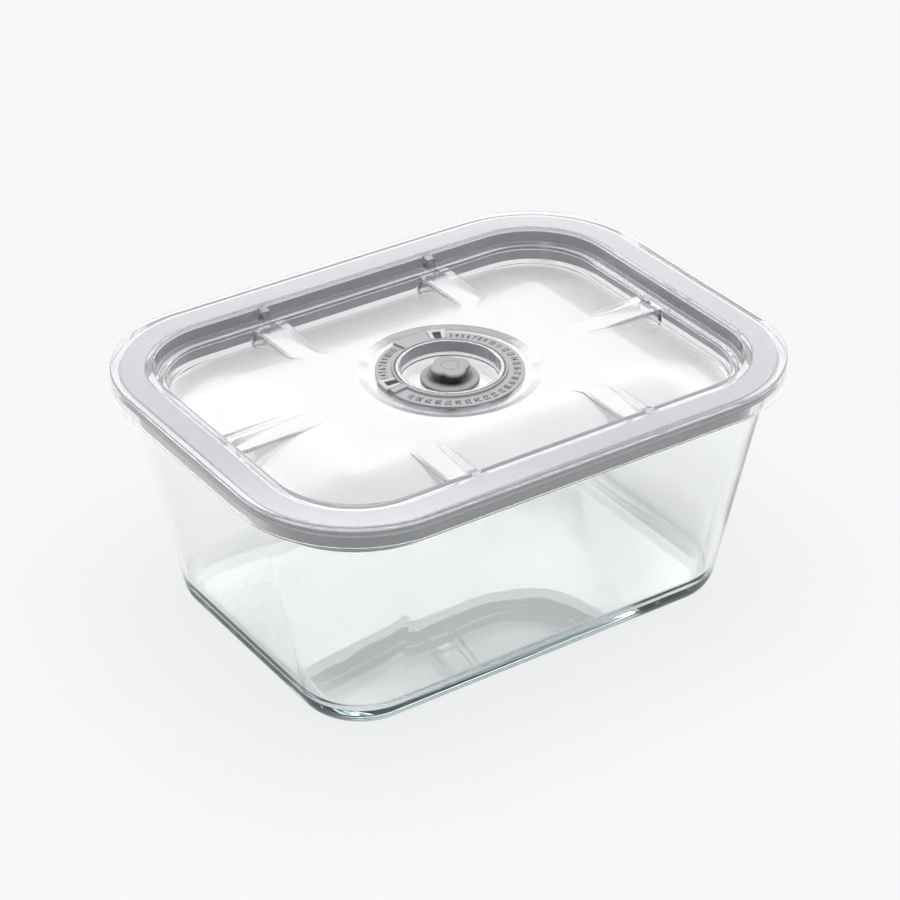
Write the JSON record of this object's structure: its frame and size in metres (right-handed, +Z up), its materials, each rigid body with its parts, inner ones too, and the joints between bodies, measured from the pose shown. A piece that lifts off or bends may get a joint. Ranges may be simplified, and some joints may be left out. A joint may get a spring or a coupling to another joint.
{
  "type": "vacuum seal canister",
  "caption": "Rectangular tapered glass food container with a clear recessed vacuum lid, silicone gasket, silicone pull valve and a date dial with sliding pointers.",
  "frame": {"origin": "centre of the glass base, on the surface that it stands on", "axes": "+X along the long side, +Y along the short side, +Z up"},
  "size_m": [0.211, 0.162, 0.094],
  "materials": {
    "glass": "clear polished",
    "clear_plastic": "clear, polished rim, satin panel",
    "gasket_silicone": "satin",
    "valve_silicone": "satin",
    "dial_plastic": "fine matt",
    "pointer_plastic": "satin"
  },
  "bodies": {
    "container": {"glass_container": "glass"},
    "lid": {"lid_shell": "clear_plastic", "lid_gasket": "gasket_silicone", "date_ring": "dial_plastic"},
    "valve": {"pull_valve": "valve_silicone"},
    "day_pointer": {"day_slider": "pointer_plastic"},
    "month_pointer": {"month_slider": "pointer_plastic"}
  },
  "joints": [
    {"name": "lid_lift", "type": "slide", "parent": "container", "child": "lid", "axis": [0, 0, 1], "range_m": [0, 0.04]},
    {"name": "valve_pull", "type": "slide", "parent": "lid", "child": "valve", "axis": [0, 0, 1], "range_m": [0, 0.0015], "stiffness_N_per_m": 400},
    {"name": "day_set", "type": "hinge", "parent": "lid", "child": "day_pointer", "pos_m": [0, 0, 0.0884], "axis": [0, 0, 1], "range_deg": [-229, 0]},
    {"name": "month_set", "type": "hinge", "parent": "lid", "child": "month_pointer", "pos_m": [0, 0, 0.0884], "axis": [0, 0, 1], "range_deg": [-60.5, 0]}
  ]
}
